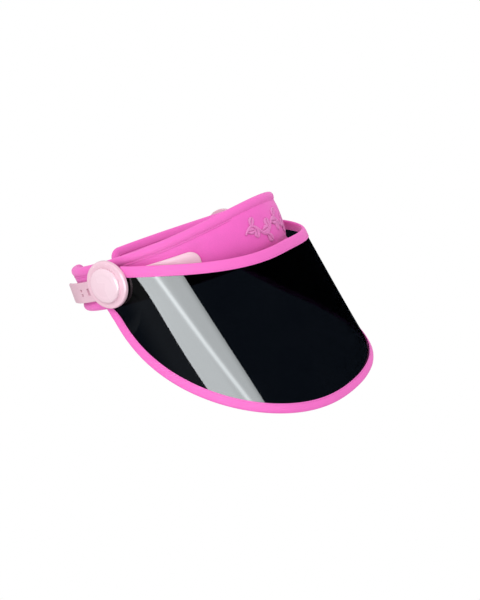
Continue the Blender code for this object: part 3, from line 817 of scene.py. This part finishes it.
def arm_boss(side_name, side):
    """Round pad in which the pivot pin turns."""
    profile = [(83.0, 0.0), (83.0, 12.0)]
    profile += rounded_corner(85.4, 11.4, 0.6, 0, 90)
    profile += [(86.0, 5.2), (85.0, 5.0), (85.0, 0.0)]
    return turned(f"arm_boss_{side_name}", side, profile, "arm")


def rivet(place, angle, side_name, side):
    """Low painted rivet head on the arm."""
    origin = band_point(side * angle, 0.0, ARM_MID_HEIGHT)
    turns = np.radians(np.arange(0, 90, 9))
    dome = [(7.75 + 1.05 * math.sin(a), 3.0 * math.cos(a)) for a in turns]
    profile = [(7.2, 0.0), (7.2, 2.4), (7.45, 2.9)] + dome + [(8.8, 0.0)]
    profile = [(along * MM, radius * MM) for along, radius in profile]
    return lathe(f"rivet_head_{place}_{side_name}", profile, origin, band_normal(side * angle), "arm", 48)


# -------------------- knobs

def knob_parts(side_name, side):
    """Round disc with a rolled rim and a shallow dish, and the raised cap on it."""
    base = [(89.7, 0.0), (89.7, 8.9), (90.8, 9.0), (90.8, 20.0)]
    base += rounded_corner(91.4, 20.2, 0.6, -90, 0)
    base += rounded_corner(93.3, 19.1, 1.7, 0, 78, 10)
    base += [(94.85, 17.6), (94.7, 16.4), (94.72, 15.2), (94.9, 14.2), (94.9, 6.0), (93.4, 5.6),
             (93.4, 0.0)]
    disc = turned(f"knob_disc_{side_name}", side, base, "knob", 128)
    cap = [(95.1, 0.0), (95.1, 14.7)]
    cap += rounded_corner(95.4, 14.7, 0.3, -60, 0, 5)
    cap += rounded_corner(96.2, 13.4, 1.6, 4, 76, 10)
    cap += [(98.05, 12.2), (98.25, 11.0), (98.3, 10.2), (98.2, 9.6), (98.25, 9.0), (98.6, 6.0),
            (98.75, 3.0), (98.8, 0.0)]
    top = turned(f"knob_button_{side_name}", side, cap, "cap", 128)
    return disc, top


# -------------------- shield

def polynomial(coefficients, value):
    return sum(c * value ** power for power, c in enumerate(coefficients))


def sheet_point(across, reach, fall):
    """Point on the middle of the sheet, from its place in plan at the hinge level."""
    distance = np.hypot(reach, fall)
    beyond = np.maximum(distance - FLAT_RADIUS, 0.0)
    eased = np.where(beyond < FLARE_BLEND, beyond ** 2 / (2 * FLARE_BLEND), beyond - FLARE_BLEND / 2)
    share = eased / np.maximum(distance, FLAT_RADIUS)
    wide = across * (1 + FLARE_ACROSS * fall * share)
    deep = reach * (1 + FLARE_FORWARD * fall)
    flat = np.stack([wide, np.zeros_like(wide), np.zeros_like(wide)], axis=-1)
    return HINGE + flat + deep[..., None] * REACH_AXIS + fall[..., None] * FALL_AXIS


def front_place(angle):
    """Place and plan normal of the sheet's front at the hinge level; angle 0 is the middle."""
    sine, cosine = np.sin(angle), np.maximum(np.cos(angle), 0.0)
    power = SHIELD_ROUNDNESS
    stretch = (np.abs(sine) ** power + cosine ** power) ** (-1 / power)
    wide, deep = stretch * sine, stretch * cosine
    slope = unit(np.stack([np.sign(sine) * np.abs(wide) ** (power - 1) / SHIELD_HALF_WIDTH,
                           deep ** (power - 1) / SHIELD_REACH], axis=-1))
    return SHIELD_HALF_WIDTH * wide, SHIELD_REACH * deep, slope


def sheet_normal(across, reach, slope, fall):
    """Outward direction of the sheet's surface."""
    step = 0.05 * MM
    aside, ahead = -slope[..., 1] * step, slope[..., 0] * step
    along = sheet_point(across + aside, reach + ahead, fall)
    along = along - sheet_point(across - aside, reach - ahead, fall)
    down = sheet_point(across, reach, fall + step) - sheet_point(across, reach, fall - step)
    return unit(np.cross(along, down))


class Outline:
    """Stations round the shield: place in plan, plan normal, and top and bottom edge."""

    def __init__(self, fronts, backs):
        turn = np.linspace(-1, 1, fronts)
        turn = np.sign(turn) * (1 - (1 - np.abs(turn)) ** 1.25)
        angle = math.pi / 2 * turn
        cosine = np.maximum(np.cos(angle), 0.0)
        wide, deep, slope = front_place(angle)
        back = TAIL_RADIUS * np.sin(np.radians(np.linspace(86, 4, backs)))
        half = np.sqrt(TAIL_RADIUS ** 2 - back ** 2)
        touch = SHIELD_BOTTOM_EDGE[0] * TAIL_SLOPE / (1 + TAIL_SLOPE ** 2)
        low = np.where(back < touch, SHIELD_BOTTOM_EDGE[0] - TAIL_SLOPE * back, half)
        high = np.maximum(SHIELD_TOP_EDGE[0], -half)
        level = np.ones_like(back)
        flat = np.stack([level, 0 * level], axis=1)

        def joined(right, middle, left):
            return np.concatenate([right, middle, left[::-1]])

        self.across = joined(-SHIELD_HALF_WIDTH * level, wide, SHIELD_HALF_WIDTH * level)
        self.reach = joined(-back, deep, -back)
        self.normal = joined(-flat, slope, flat)
        self.top = joined(high, polynomial(SHIELD_TOP_EDGE, cosine), high)
        self.bottom = joined(low, polynomial(SHIELD_BOTTOM_EDGE, cosine), low)

    def point(self, out, fall):
        """Points out from the sheet; out and fall are (stations, columns)."""
        across, reach = (np.broadcast_to(a[:, None], fall.shape) for a in (self.across, self.reach))
        slope = np.broadcast_to(self.normal[:, None], (*fall.shape, 2))
        away = sheet_normal(across, reach, slope, fall)
        return sheet_point(across, reach, fall) + out[..., None] * away

    def tape_reach(self, edge, width):
        """How far down the sheet a tape of that width reaches at each station."""
        rim = self.point(np.zeros((edge.size, 1)), edge[:, None])[:, 0]
        run = unit(np.gradient(rim, axis=0))
        down = (self.point(np.zeros((edge.size, 1)), edge[:, None] + MM)
                - self.point(np.zeros((edge.size, 1)), edge[:, None] - MM))[:, 0]
        reach = width * 2 * MM / np.linalg.norm(np.cross(run, down), axis=1)
        return np.minimum(reach, 0.4 * (self.bottom - self.top)), rim


def smoke_sheet(outline):
    """The tinted sheet, set back a little inside its folded tapes."""
    depth = outline.bottom - outline.top - 2 * SHEET_INSET
    fall = (outline.top + SHEET_INSET)[:, None] + depth[:, None] * np.linspace(0.0, 1.0, 30)[None, :]
    half = np.full_like(fall, SHEET_THICKNESS / 2)
    return shell("smoke_shield", outline.point(half, fall), outline.point(-half, fall), "smoke")


# Half section of the shield tape: (out from the sheet, share of the way in from the edge)
TAPE_SIDE = [(1.42, 1.0), (1.55, 0.96), (1.5, 0.9), (1.36, 0.84), (1.5, 0.76), (1.74, 0.6), (1.82, 0.4),
             (1.72, 0.2), (1.3, 0.04), (0.6, -0.03), (0.0, -0.045)]
TAPE_RIPPLE = 0.05 * MM
RIPPLE_WAVES = (11.0 * MM, 4.3 * MM)
# Stitches: height off the sheet, share of the way in, room left at the ends, share of the pitch covered
TAPE_STITCH_OUT = 1.4 * MM
TAPE_STITCH_PLACE = 0.85
TAPE_STITCH_MARGIN = 2.0 * MM
TAPE_STITCH_SPAN = (0.12, 0.85)
TAPE_THREAD, TAPE_ARCH = 0.16 * MM, 0.06 * MM


def shield_tape(name, outline, edge, sense, width, start):
    """Tape folded over one edge of the sheet and sewn down along its inner line."""
    reach, rim = outline.tape_reach(edge, width)
    right = [(out * MM, share * width) for out, share in TAPE_SIDE]
    left = [(-out * MM, share * width) for out, share in TAPE_SIDE[:-1]][::-1]
    outer = smooth_line(right + left, 34)
    inner = offset_profile(outer, TAPE_SKIN)
    keep = outline.reach >= start
    steps = distances(rim)
    soft = TAPE_RIPPLE * (np.sin(steps / RIPPLE_WAVES[0]) + 0.7 * np.sin(steps / RIPPLE_WAVES[1]))
    surfaces = []
    for profile in (outer, inner):
        out = profile[None, :, 0] + np.sign(profile[None, :, 0]) * soft[:, None]
        fall = edge[:, None] + sense * profile[None, :, 1] / width * reach[:, None]
        surfaces.append(outline.point(out, fall)[keep])
    tape = shell(name, surfaces[0], surfaces[1], "tape", along=steps[keep])
    return tape, (float(steps[keep][-1] - steps[keep][0]), float(distances(outer)[-1]))


def tape_sewing(name, outline, edge, sense, width, start):
    """Row of small stitches near the tape's inner line, on both faces."""
    reach, rim = outline.tape_reach(edge, width)
    steps = distances(rim)
    keep = outline.reach >= start
    first, last = steps[keep][0] + TAPE_STITCH_MARGIN, steps[keep][-1] - TAPE_STITCH_MARGIN
    marks = np.arange(first, last - STITCH_PITCH, STITCH_PITCH)
    starts, stops, normals = [], [], []
    for out in (TAPE_STITCH_OUT, -TAPE_STITCH_OUT):
        fall = (edge + sense * TAPE_STITCH_PLACE * reach)[:, None]
        line = outline.point(np.full_like(fall, out), fall)[:, 0]
        base = outline.point(np.zeros_like(fall), fall)[:, 0]
        away = unit(line - base)
        for share, store in zip(TAPE_STITCH_SPAN, (starts, stops)):
            store.append(points_along(line, steps, marks + share * STITCH_PITCH))
        normals.append(unit(points_along(away, steps, marks)))
    starts, stops, normals = (np.concatenate(a) for a in (starts, stops, normals))
    return threads(name, starts, stops, normals, TAPE_THREAD, TAPE_ARCH, "stitch", rings=5)


# -------------------- assemble the headband

panel = band_panel()
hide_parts("band_cover", "foam_pad")
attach(panel, "headband")

lining, lining_flat = band_lining()
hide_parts("sweatband_lining")
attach(lining, "headband")

binding, sewing, binding_flat = edge_binding()
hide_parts("top_binding", "bottom_binding")
for piece in (binding, sewing):
    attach(piece, "headband")

vine = embroidery(surface_finder(panel))
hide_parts("embroidered_vine")
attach(vine, "headband")

for side_name, side in SIDES:
    strap = spring_arm(side_name, side)
    boss = arm_boss(side_name, side)
    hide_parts(f"spring_arm_{side_name}")
    heads = []
    for place, angle in RIVET_ANGLES.items():
        head = rivet(place, angle, side_name, side)
        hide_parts(f"arm_rivet_{place}_{side_name}")
        heads.append(head)
    for piece in (strap, boss, *heads):
        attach(piece, "headband")

# -------------------- assemble the shield

outline = Outline(230, 16)
lens = smoke_sheet(outline)
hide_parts("shield_lens")
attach(lens, "shield")

# Each tape's own name, the CAD part it replaces, and its edge, way in, width and rear end
TAPES = (
    ("shield_upper_tape", "shield_top_tape", outline.top, 1, TOP_TAPE_WIDTH, TOP_TAPE_START),
    ("shield_lower_tape", "shield_bottom_tape", outline.bottom, -1, BOTTOM_TAPE_WIDTH, BOTTOM_TAPE_START))
for name, node, *seam in TAPES:
    tape, tape_flat = shield_tape(name, outline, *seam)
    stitches = tape_sewing(name + "_stitches", outline, *seam)
    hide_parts(node)
    for piece in (tape, stitches):
        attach(piece, "shield")

for side_name, side in SIDES:
    disc, button = knob_parts(side_name, side)
    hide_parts(f"knob_base_{side_name}")
    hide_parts(f"knob_cap_{side_name}")
    for piece in (disc, button):
        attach(piece, "shield")

# Hardware that keeps its CAD shape gets its finish here
CARRIED = {"spring_hoop": "spring", "friction_washer": "nylon", "hub_plate": "arm", "pivot_nut": "steel",
           "pivot_pin": "steel"}
for node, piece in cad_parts.items():
    for start, finish in CARRIED.items():
        if node.startswith(start):
            piece.data.materials.clear()
            piece.data.materials.append(finishes[finish])

# -------------------- studio

CAMERA_PLACE = Vector((-0.8545, -0.6841, 0.1092))

# Pale floor that sweeps up into a seamless round wall and ceiling: (level, radius)
BOWL_PROFILE = [(-0.42, 0.0), (-0.42, 0.9), (-0.42, 1.6), (-0.38, 1.95), (-0.25, 2.2), (0.0, 2.35),
                (0.5, 2.4), (1.1, 2.35), (1.7, 2.1), (2.15, 1.6), (2.4, 0.9), (2.45, 0.0)]

# Strip softbox close to the object, shaped so that the shield mirrors it as one slanting bar.
# The bar's two sides are lines down the sheet: angle in degrees against fall in millimetres.
BAR_REAR_SIDE = (-74.9, 0.320, -0.00044)
BAR_FRONT_SIDE = (-56.5, 0.258, -0.00049)
BAR_FALL = (-14.0, 100.0)
STRIP_DISTANCE = 0.05
STRIP_GLOW = 12.5
SIDE_GLOW = 0.15
STREAK_GLOW = 0.65
STREAK_WIDTH = 0.055


def strip_light():
    """Glowing card whose points lie where the sheet mirrors the view across the bar."""
    fall = np.linspace(*BAR_FALL, 90)[:, None]
    share = np.concatenate([np.linspace(-0.85, -0.01, 12), np.linspace(0.0, 1.0, 60)])[None, :]
    rear, front = polynomial(BAR_REAR_SIDE, fall), polynomial(BAR_FRONT_SIDE, fall)
    angle = np.radians(np.maximum(rear + (front - rear) * share, -89.0))
    across, reach, slope = front_place(angle)
    drop = np.broadcast_to(fall * MM, angle.shape)
    spot = sheet_point(across, reach, drop)
    away = sheet_normal(across, reach, slope, drop)
    sight = unit(spot - np.array(CAMERA_PLACE))
    mirrored = sight - 2 * (sight * away).sum(axis=-1, keepdims=True) * away
    points = spot + STRIP_DISTANCE * mirrored
    rows, columns = angle.shape
    faces = [(i * columns + j, i * columns + j + 1, (i + 1) * columns + j + 1, (i + 1) * columns + j)
             for i in range(rows - 1) for j in range(columns - 1)]
    mesh = bpy.data.meshes.new("strip_softbox")
    mesh.from_pydata(points.reshape(-1, 3).tolist(), [], faces)
    down = (fall - BAR_FALL[0]) / (BAR_FALL[1] - BAR_FALL[0])
    streak = STREAK_GLOW * np.exp(-((share - 0.42 - 0.32 * down) / STREAK_WIDTH) ** 2)
    shade = 1.0 - 0.15 * np.clip((share - 0.45) / 0.2, 0, 1)
    shade = shade - 0.35 * np.clip((share - 0.85) / 0.15, 0, 1) ** 2
    fade = np.clip((share + 0.85) / 0.5, 0, 1)
    glow = np.where(share < 0, SIDE_GLOW * fade, STRIP_GLOW * (shade + streak))
    store = mesh.attributes.new("glow", "FLOAT", "POINT")
    store.data.foreach_set("value", glow.ravel().astype(np.float32))
    card = add_object("strip_softbox", mesh)
    made = bpy.data.materials.new("softbox_glow")
    made.use_nodes = True
    made.node_tree.nodes.clear()
    lamp = add_node(made, "ShaderNodeEmission")
    set_inputs(lamp, Color=(0.93, 0.98, 1.0, 1.0))
    value = add_node(made, "ShaderNodeAttribute", attribute_name="glow")
    link(made, value, "Fac", lamp, "Strength")
    link(made, lamp, "Emission", add_node(made, "ShaderNodeOutputMaterial"), "Surface")
    mesh.materials.append(made)
    card.visible_camera = card.visible_diffuse = False
    card.visible_shadow = card.visible_transmission = False


def soft_light(name, place, aim, size, power):
    data = bpy.data.lights.new(name, "AREA")
    data.shape = "RECTANGLE"
    data.size, data.size_y = size
    data.energy = power
    lamp = add_object(name, data)
    lamp.location = place
    lamp.rotation_mode = "QUATERNION"
    lamp.rotation_quaternion = (Vector(aim) - Vector(place)).to_track_quat("-Z", "Y")
    return lamp


bowl = lathe("studio_bowl", BOWL_PROFILE, (0.0, 0.0, 0.0), (0.0, 0.0, 1.0), "studio", 64)
bowl.visible_glossy = False
strip_light()
key = soft_light("key_light", (-1.3, -0.7, 1.3), (0, 0, 0), (0.9, 0.9), 9.0)
key.visible_glossy = False
soft_light("gloss_light", (-1.1, -0.5, 0.75), (-0.09, 0, 0), (0.25, 0.25), 1.2)

world = bpy.data.worlds.new("studio_world")
world.use_nodes = True
set_inputs(world.node_tree.nodes["Background"], Strength=0.0)
bpy.context.scene.world = world

# -------------------- camera

CAMERA_AIM = Vector((0.0216, -0.0326, -0.0353))
CAMERA_UP = Vector((0.2804, -0.2003, 0.9388))

lens_data = bpy.data.cameras.new("camera")
lens_data.sensor_width = 36.0
lens_data.lens = 73.3
lens_data.clip_start = 0.05
lens_data.clip_end = 20.0
camera = add_object("camera", lens_data)
back = (CAMERA_PLACE - CAMERA_AIM).normalized()
right = CAMERA_UP.cross(back).normalized()
up = back.cross(right)
camera.matrix_world = Matrix.Translation(CAMERA_PLACE) @ Matrix((right, up, back)).transposed().to_4x4()
bpy.context.scene.camera = camera
bpy.context.scene.view_settings.view_transform = "Standard"

bpy.context.view_layer.update()
